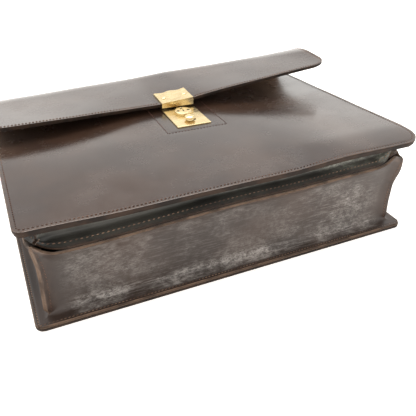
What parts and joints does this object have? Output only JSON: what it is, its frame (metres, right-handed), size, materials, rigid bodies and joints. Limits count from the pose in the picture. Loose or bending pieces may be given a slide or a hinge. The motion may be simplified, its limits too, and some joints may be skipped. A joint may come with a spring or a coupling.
{
  "type": "leather briefcase",
  "caption": "Flap-over leather briefcase lying on its back: accordion gusset body, stitched panels, sliding-knob brass lock with hasp, and a top carrying handle.",
  "frame": {"origin": "on the plane the case lies on, under the centre of its box", "axes": "+X across the width, +Y from the bottom edge towards the handle, +Z from the back panel up to the flap"},
  "size_m": [0.4, 0.316, 0.1382],
  "materials": {
    "panel_leather": "satin",
    "gusset_leather": "satin",
    "lining_leather": "matte",
    "brass": "satin",
    "steel": "satin"
  },
  "bodies": {
    "case": {"back_panel": "panel_leather", "back_lining": "lining_leather", "rear_gusset_bottom": "gusset_leather", "rear_gusset_left": "gusset_leather", "rear_gusset_right": "gusset_leather"},
    "divider": {"divider": "lining_leather"},
    "front": {"front_panel": "panel_leather", "front_lining": "lining_leather", "lock_patch": "lining_leather", "front_gusset_bottom": "gusset_leather", "front_gusset_left": "gusset_leather", "front_gusset_right": "gusset_leather", "lock_plate": "brass", "key_escutcheon": "brass", "lock_case": "steel", "lock_backing_plate": "steel", "lock_rivets": "brass"},
    "sliding_bolt": {"lock_knob": "brass", "lock_bolt": "steel"},
    "key_cylinder": {"key_plug": "brass", "key_cam": "steel"},
    "top_strip": {"flap_top": "panel_leather", "flap_top_lining": "lining_leather", "handle_patch": "panel_leather", "handle_plate_left": "brass", "handle_plate_right": "brass", "handle_pin_left": "steel", "handle_pin_right": "steel", "handle_rivets": "brass", "handle_backing_left": "steel", "handle_backing_right": "steel"},
    "flap": {"flap_front": "panel_leather", "flap_lining": "lining_leather", "hasp_plate": "brass", "hasp_tongue": "brass", "hasp_rivets": "brass", "hasp_backing_plate": "steel"},
    "handle": {"handle_core": "steel", "handle_cover": "panel_leather", "handle_eye_left": "brass", "handle_eye_right": "brass"}
  },
  "joints": [
    {"name": "flap_lift", "type": "hinge", "parent": "case", "child": "top_strip", "pos_m": [0, 0.14, 0], "axis": [-1, 0, 0], "range_deg": [0, 70]},
    {"name": "flap_fold", "type": "hinge", "parent": "top_strip", "child": "flap", "pos_m": [0, 0.14, 0.066], "axis": [-1, 0, 0], "range_deg": [0, 75]},
    {"name": "divider_tilt", "type": "hinge", "parent": "case", "child": "divider", "pos_m": [0, -0.152, 0.08015], "axis": [1, 0, 0], "range_deg": [0, 6]},
    {"name": "front_tilt", "type": "hinge", "parent": "divider", "child": "front", "pos_m": [0, -0.152, 0.08245], "axis": [1, 0, 0], "range_deg": [0, 6]},
    {"name": "handle_swing", "type": "hinge", "parent": "top_strip", "child": "handle", "pos_m": [0, 0.1505, 0.052], "axis": [1, 0, 0], "range_deg": [0, 100]},
    {"name": "knob_slide", "type": "slide", "parent": "front", "child": "sliding_bolt", "axis": [1, 0, 0], "range_m": [0, 0.005]},
    {"name": "key_turn", "type": "hinge", "parent": "front", "child": "key_cylinder", "pos_m": [0, 0.002, 0.1], "axis": [0, 0, 1], "range_deg": [0, 90]}
  ],
  "couplings": [
    {"joint": "divider_tilt", "follows": "flap_lift", "ratio": 0.0857},
    {"joint": "front_tilt", "follows": "flap_lift", "ratio": 0.0857}
  ]
}
